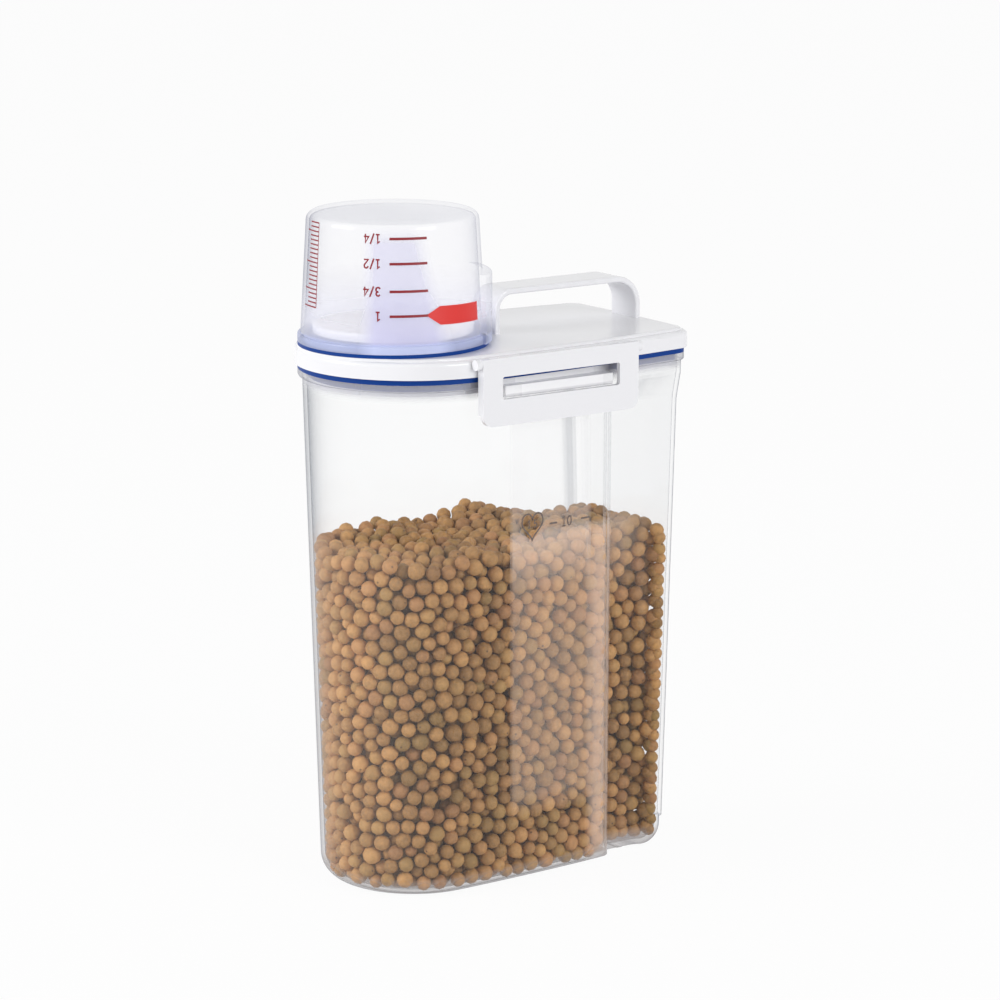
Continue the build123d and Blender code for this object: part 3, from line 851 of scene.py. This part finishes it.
class FOODBIN_OT_body(bpy.types.Operator):
    """Dress the clear body with its frosted panel and its level marks"""

    bl_idname = "foodbin.body"
    bl_label = "Clear Body"

    def execute(self, context):
        looks = context.scene.food_bin
        finish = Finish("Clear Body")
        x, y, z = finish.place()
        left = PANEL_LEFT - z * PANEL_LEFT_LEAN
        right = PANEL_RIGHT - z * PANEL_RIGHT_LEAN
        near = y.below(*NEAR_SIDE)
        panel = x.above(left, PANEL_LEFT_EDGE) * x.below(right, PANEL_RIGHT_EDGE)
        panel = panel * z.above(*PANEL_FOOT) * near
        panel = panel * (1 - heart_gap(x - HEART_X, z - HEART_Z).below(0.0, 0.3))
        corner = x.above(right, CORNER_EDGE) * x.below(*CORNER_END) * near
        flank = x.above(*FLANK_START) * x.below(*FLANK_END) * near
        rim = z.above(*RIM_START)
        lug = y.size().above(*LUG_SIDE) * rim * x.above(*LUG_START) * x.below(*LUG_END)
        filled = z.below(*FILLED_TO)
        base = z.below(*BASE_TO)
        nose = x.below(*NOSE_TO)
        frosted = panel * (filled * FROST_BY_FOOD + FROST_ALONE)
        frosted = frosted * (z.above(*PANEL_FADE) * FROST_AT_TOP + FROST_BELOW)
        # Painted reflection: milk on the recess corner and flank over the food, scaled with the panel's frost.
        sides = (corner * CORNER_REFLECTION + flank * FLANK_REFLECTION) * filled
        veil = (frosted + sides) * looks.frost_and_reflection
        # Painted reflection: a pale veil on the wall over the food, thicker at the nose.
        veil = veil + filled * (nose * NOSE_PAINTED_REFLECTION + FOOD_PAINTED_REFLECTION)
        # Painted shade: grey milk under the rim and at the foot.
        veil = veil + rim * RIM_PAINTED_SHADE + lug * LUG_MILK + base * BASE_PAINTED_SHADE
        milk = finish.mix(filled, EMPTY_COLOUR, FILLED_COLOUR)
        # Painted shade: the rim and the foot take grey.
        milk = finish.mix(rim * (1 - lug), milk, RIM_SHADE_COLOUR)
        milk = finish.mix(base, milk, BASE_SHADE_COLOUR)
        lip = x.above(*LIP_START) * x.below(*LIP_END) * z.below(*LIP_TOP)
        lines = 1 - lip * LIP_CALM + x.above(*REAR_FROM) * REAR_LINES
        tint = tuple(looks.body_tint)
        shader = see_through(finish, tint, BODY_EDGE_TINT, milk, veil, lines)
        dress("bin_body", finish.done(shader))

        marks = Print()
        for start, end in LEVEL_DASHES:
            marks.bar(start, end, DASH_LOW, DASH_HIGH, cuts=2)
        marks.text("10", LEVEL_PLACE, LEVEL_HEIGHT, MARK_BOLD)
        marks.text("1.5", (HEART_X, HEART_Z + HEART_WORD_RISE), HEART_WORD_HEIGHT, MARK_BOLD)
        heart = [(HEART_X + u, HEART_Z + v) for u, v in heart_line()]
        marks.line(heart, HEART_LINE, closed=True)
        thing = marks.lay("level_marks", on_near_side, [ink("Mark Ink", MARK_COLOUR)])
        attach(thing, "bin")
        return {"FINISHED"}


def heart_line(count=40):
    """Return the outline of a plain heart about its middle."""
    path = []
    for i in range(count):
        turn = 2 * math.pi * i / count
        up = 13 * math.cos(turn) - 5 * math.cos(2 * turn)
        up = up - 2 * math.cos(3 * turn) - math.cos(4 * turn)
        path.append((HEART_WIDE * math.sin(turn) ** 3, HEART_TALL * up + HEART_RISE))
    return path


def heart_gap(across, up):
    """Return a rough measure that is below zero inside the heart."""
    bow = across.size()
    return bow * bow / 30.0 + (up + 0.4 - bow * 0.35) ** 2.0 / 34.0 - 0.95


class FOODBIN_OT_lid(bpy.types.Operator):
    """Dress the lid, the handle and both latches"""

    bl_idname = "foodbin.lid"
    bl_label = "Lid, Handle and Latches"

    def execute(self, context):
        colour = tuple(context.scene.food_bin.plastic_colour)
        white = moulded("White Plastic", colour, 0.2, coat=0.25)
        for node in ("lid", "carry_handle", "near_latch", "far_latch"):
            dress(node, white)
        return {"FINISHED"}


class FOODBIN_OT_seals(bpy.types.Operator):
    """Dress the lid seal and the neck seal"""

    bl_idname = "foodbin.seals"
    bl_label = "Seals"

    def execute(self, context):
        colour = tuple(context.scene.food_bin.seal_colour)
        blue = moulded("Blue Silicone", colour, 0.45, specular=0.15)
        for node in ("lid_seal", "neck_seal"):
            dress(node, blue)
        return {"FINISHED"}


class FOODBIN_OT_cup(bpy.types.Operator):
    """Dress the measuring cup and print its scales"""

    bl_idname = "foodbin.cup"
    bl_label = "Measuring Cup"

    def execute(self, context):
        looks = context.scene.food_bin
        finish = Finish("Clear Cup")
        x, y, z = finish.place()
        out = x - CUP_AXIS_X
        turn = finish.node("ShaderNodeMath", {"operation": "ARCTAN2"}, i0=y, i1=out)
        across = finish.wire(turn) * (180 / math.pi)
        lean = (z - REFLECTION_MIDDLE) * REFLECTION_LEAN
        # Painted reflection: a lavender band on the near side of the cup.
        painted_reflection = across.above(*REFLECTION_START) * (across + lean).below(*REFLECTION_END)
        painted_reflection = painted_reflection * z.below(*REFLECTION_TOP)
        top = z.above(*CUP_TOP_FACE)
        foot = z.below(*CUP_FOOT)
        # Painted reflection: lavender milk over the lower part of the cup.
        share = z.below(*CUP_LOW) * LOW_PAINTED_REFLECTION + foot * SEAL_REFLECTION_SHARE + painted_reflection * REFLECTION_MILK + CUP_MILK
        milk = finish.mix(painted_reflection * REFLECTION_TINGE, CUP_COLOUR, REFLECTION_COLOUR)
        # Painted reflection: the foot takes the blue of the neck seal under it.
        milk = finish.mix(foot, milk, SEAL_REFLECTION_COLOUR)
        lines = 1 - top * TOP_CALM - out.above(*CUP_REAR) * (1 - top) * CUP_REAR_CALM
        tint = tuple(looks.cup_tint)
        shader = see_through(finish, tint, CUP_EDGE_TINT, milk, share, lines)
        dress("measuring_cup", finish.done(shader))

        scale = Print()
        for words, level in CUP_LEVELS:
            scale.bar(LEVEL_LEFT, LEVEL_RIGHT, level - LEVEL_HALF, level + LEVEL_HALF, cuts=12)
            place = SINGLE_PLACE if words == "1" else PAIR_PLACE
            scale.text(
                words, (place, level), FIGURE_HEIGHT, turned=True,
                squeeze=math.degrees(1 / FIGURE_RADIUS), spacing=FIGURE_SPACING)
        for left, right, low, high, cuts in FLAG:
            scale.bar(left, right, low, high, shade=1, cuts=cuts)
        for i in range(TICKS):
            level = TICK_TOP - i * TICK_STEP
            start = LONG_START if i in LONG_TICKS else SHORT_START
            scale.bar(start, TICK_END, level - TICK_HALF, level + TICK_HALF, cuts=4)
        scale.bar(RAIL_LEFT, RAIL_RIGHT, TICK_TOP - (TICKS - 1) * TICK_STEP, TICK_TOP)
        inks = [ink("Scale Ink", tuple(looks.print_colour)), ink("Flag Ink", FLAG_COLOUR)]
        thing = scale.lay("cup_scale", on_cup, inks)
        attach(thing, "cup")
        return {"FINISHED"}


class FOODBIN_OT_food(bpy.types.Operator):
    """Fill the bin with dry food"""

    bl_idname = "foodbin.food"
    bl_label = "Dry Food"

    def execute(self, context):
        looks = context.scene.food_bin
        size = looks.pellet_size / MM
        points, radii = pack_food(size, looks.pellet_seed)
        top = food_top(points[:, 0], points[:, 1]) - points[:, 2]
        outer = (wall_depth(points, OUTER_WALLS * size) > 0) | (top < OUTER_TOP * size)
        outer = outer | (points[:, 2] < OUTER_FLOOR)
        inner = (wall_depth(points, INNER_WALLS * size) > 0) | (top < INNER_TOP * size)
        near = points[:, 1] < 0
        heaps = (
            ("food_near", outer & near, 2),
            ("food_far", outer & ~near, 2),
            ("food_inner", ~outer & inner, 1),
        )
        rng = np.random.default_rng(looks.pellet_seed + 1)
        material = food_finish(tuple(looks.pellet_colour))
        for name, keep, detail in heaps:
            thing = pellets(name, points[keep] * MM, radii[keep] * MM, rng, detail, material)
            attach(thing, "bin")
        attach(food_core(1.55 * size), "bin")
        return {"FINISHED"}


def food_finish(colour):
    """Return the dry food's finish: each pellet's own brightness plus painted light, mottled and pitted."""
    finish = Finish("Dry Food")
    spot = finish.spot()
    tone_and_light = Wire(finish.tree, finish.attribute("tone_and_light", "Fac"))
    warmth = Wire(finish.tree, finish.attribute("warmth", "Fac"))
    mottle = finish.noise(spot, 0.5, 3.0)
    fine = finish.noise(spot, 2.5, 2.0)
    shade = tone_and_light * TONE_SHARE + (mottle - 0.5) * MOTTLE_SHARE + SHADE_START
    dark = tuple(DARK_FACTOR * c for c in colour)
    pale = tuple(min(1, PALE_FACTOR * c + PALE_LIFT) for c in colour)
    base = finish.mix(shade.clamped(), dark, pale)
    base = finish.mix(warmth.above(0.82, 0.3) * 0.3, base, WARM_FOOD)
    base = finish.mix(warmth.below(0.16, 0.3) * 0.35, base, GREEN_FOOD)
    base = finish.mix(fine.below(0.34, 0.12) * 0.45, base, SPECK_FOOD)
    here = finish.node("ShaderNodeTexCoord").outputs["Object"]
    pit = finish.attribute("pit", "Vector")
    off = finish.node("ShaderNodeVectorMath", {"operation": "DISTANCE"}, i0=here, i1=pit)
    base = finish.mix((finish.wire(off, 1) / MM).below(0.5, 0.3) * 0.8, base, PIT_FOOD)
    shader = finish.node(
        "ShaderNodeBsdfPrincipled", None, Base_Color=base, Roughness=0.62,
        Normal=finish.bump(fine * 0.5 + mottle, RIPPLE))
    return finish.done(shader)


def ramp(value, start, width):
    """Return 0 up to start, and a rise to 1 over width."""
    return np.clip((value - start) / width, 0, 1)


def painted_food_light(points):
    """Return the food's painted light: paler at the nose and behind the near side, darker elsewhere."""
    x, y, z = points.T / MM
    near = ramp(-y, 20, 8)
    nose = NOSE_PAINTED_LIGHT * ramp(y, -28, 16) * ramp(-x, 38, 20)
    side = near * ramp(x, -14, 4) * ramp(-x, -66, 8)
    corner = near * ramp(x, 22, 12) * ramp(-x, -64, 8)
    return nose + SIDE_PAINTED_LIGHT * side + CORNER_PAINTED_LIGHT * corner - PAINTED_SHADE_ELSEWHERE


def pellet_tree():
    """Return the Geometry Nodes tree that puts a pellet on each point, and its sockets."""
    tree = bpy.data.node_groups.new("Pellets", "GeometryNodeTree")
    face = tree.interface
    face.new_socket("Points", in_out="INPUT", socket_type="NodeSocketGeometry")
    detail = face.new_socket("Pellet Detail", in_out="INPUT", socket_type="NodeSocketInt")
    detail.default_value = 2
    lumps = face.new_socket("Lump Height", in_out="INPUT", socket_type="NodeSocketFloat")
    lumps.default_value = LUMP_HEIGHT
    finish = face.new_socket("Finish", in_out="INPUT", socket_type="NodeSocketMaterial")
    face.new_socket("Pellets", in_out="OUTPUT", socket_type="NodeSocketGeometry")

    def add(kind, settings=None, **values):
        return add_node(tree, kind, settings, **values).outputs

    given = add("NodeGroupInput")
    ball = add("GeometryNodeMeshIcoSphere", Subdivisions=given["Pellet Detail"], Radius=1.0)
    vector = {"data_type": "FLOAT_VECTOR"}
    size = add("GeometryNodeInputNamedAttribute", vector, Name="size")
    turn = add("GeometryNodeInputNamedAttribute", vector, Name="turn")
    spread = add("GeometryNodeMeshToPoints", Mesh=given["Points"])
    placed = add(
        "GeometryNodeInstanceOnPoints", Points=spread[0], Instance=ball[0],
        Rotation=turn[0], Scale=size[0])
    real = add("GeometryNodeRealizeInstances", Geometry=placed[0])
    where = add("GeometryNodeInputPosition")
    lump = add("ShaderNodeTexNoise", Vector=where[0], Scale=LUMP_SCALE, Detail=0.0)
    lift = add("ShaderNodeMath", {"operation": "SUBTRACT"}, i0=lump[0], i1=0.5)
    lift = add("ShaderNodeMath", {"operation": "MULTIPLY"}, i0=lift[0], i1=given["Lump Height"])
    normal = add("GeometryNodeInputNormal")
    offset = add("ShaderNodeVectorMath", {"operation": "SCALE"}, i0=normal[0], Scale=lift[0])
    lumpy = add("GeometryNodeSetPosition", Geometry=real[0], Offset=offset[0])
    smooth = add("GeometryNodeSetShadeSmooth", Geometry=lumpy[0])
    coated = add("GeometryNodeSetMaterial", Geometry=smooth[0], Material=given["Finish"])
    add("NodeGroupOutput", i0=coated[0])
    return tree, (detail.identifier, lumps.identifier, finish.identifier)


def pellets(name, points, radii, rng, detail, material):
    """Return a mesh of pellets at these points."""
    count = len(points)
    mesh = bpy.data.meshes.new(name)
    mesh.from_pydata(points.tolist(), [], [])
    squash = rng.uniform(*SQUASH, (count, 3))
    way = rng.normal(size=(count, 3))
    way /= np.linalg.norm(way, axis=1)[:, None]
    pitted = rng.random(count)[:, None] < PITTED_SHARE
    fields = {
        "size": ("FLOAT_VECTOR", "vector", squash * radii[:, None]),
        "turn": ("FLOAT_VECTOR", "vector", rng.uniform(0, 2 * math.pi, (count, 3))),
        # Each pellet's random value plus the painted light and shade of its place.
        "tone_and_light": ("FLOAT", "value", rng.random(count) + painted_food_light(points)),
        "warmth": ("FLOAT", "value", rng.random(count)),
        "pit": ("FLOAT_VECTOR", "vector",
                np.where(pitted, points + way * radii[:, None] * PIT_DEPTH, NO_PIT)),
    }
    for key, (kind, slot, values) in fields.items():
        field = mesh.attributes.new(key, kind, "POINT").data
        field.foreach_set(slot, np.asarray(values, np.float32).ravel())
    thing = make_object(name, mesh)
    tree, sockets = pellet_tree()
    modifier = thing.modifiers.new("Pellets", "NODES")
    modifier.node_group = tree
    for socket, value in zip(sockets, (detail, LUMP_HEIGHT, material)):
        modifier[socket] = value
    return applied(thing)


def food_core(reach):
    """Return the inside of the heap as one closed mesh, out of sight behind the pellets."""
    levels = np.linspace(FLOOR + reach, CORE_TOP, CORE_LEVELS)
    turns = np.linspace(0, 2 * math.pi, CORE_TURNS, endpoint=False)
    count = len(turns)
    rows = []
    for z in levels:
        low, high = np.zeros(count), np.full(count, CORE_SPAN)
        for _ in range(CORE_HALVINGS):
            mid = (low + high) / 2
            x, y = CORE_MIDDLE + mid * np.cos(turns), mid * np.sin(turns)
            inside = wall_depth(np.stack([x, y, np.full(count, z)], 1), reach) < 0
            low, high = np.where(inside, mid, low), np.where(inside, high, mid)
        x, y = CORE_MIDDLE + low * np.cos(turns), low * np.sin(turns)
        rows.append(np.stack([x, y, np.minimum(z, food_top(x, y) - reach)], 1))
    peak = food_top(CORE_MIDDLE, 0.0) - reach
    places = np.concatenate(rows + [[[CORE_MIDDLE, 0, levels[0]], [CORE_MIDDLE, 0, peak]]])
    bottom, top = len(places) - 2, len(places) - 1
    last = (len(levels) - 1) * count
    faces = []
    for row in range(len(levels) - 1):
        for i in range(count):
            a, b = row * count + i, row * count + (i + 1) % count
            faces.append((a, b, b + count, a + count))
    for i in range(count):
        j = (i + 1) % count
        faces += [(bottom, j, i), (top, last + i, last + j)]
    mesh = bpy.data.meshes.new("food_core")
    mesh.from_pydata((places * MM).tolist(), [], faces)
    return make_object("food_core", mesh, core_finish())


def core_finish():
    """Return the painted shade of the gaps between pellets: a dark brown for the heap's shadowed inside."""
    finish = Finish("Food Shadow")
    mottle = finish.noise(finish.spot(), 0.3, 2.0)
    shader = finish.node(
        "ShaderNodeBsdfPrincipled", None,
        Base_Color=finish.mix(mottle, CORE_DARK, CORE_PALE), Roughness=0.9)
    return finish.done(shader)


class FOODBIN_PT_panel(bpy.types.Panel):
    """Lists the steps that dress the bin"""

    bl_idname = "FOODBIN_PT_panel"
    bl_label = "Food Bin"
    bl_space_type = "VIEW_3D"
    bl_region_type = "UI"
    bl_category = "Food Bin"

    def draw(self, context):
        for field in FoodBinLooks.__annotations__:
            self.layout.prop(context.scene.food_bin, field)
        for operator in OPERATORS:
            self.layout.operator(operator.bl_idname)


OPERATORS = (
    FOODBIN_OT_stage, FOODBIN_OT_body, FOODBIN_OT_lid, FOODBIN_OT_seals, FOODBIN_OT_cup,
    FOODBIN_OT_food)
CLASSES = (FoodBinLooks, *OPERATORS, FOODBIN_PT_panel)


def register():
    """Add the classes and the scene's own settings."""
    for item in CLASSES:
        bpy.utils.register_class(item)
    bpy.types.Scene.food_bin = bpy.props.PointerProperty(type=FoodBinLooks)


def unregister():
    """Take them away again."""
    del bpy.types.Scene.food_bin
    for item in reversed(CLASSES):
        bpy.utils.unregister_class(item)


def main():
    """Dress the bin."""
    register()
    for operator in OPERATORS:
        group, name = operator.bl_idname.split(".")
        getattr(getattr(bpy.ops, group), name)()


if __name__ == "__main__":
    main()
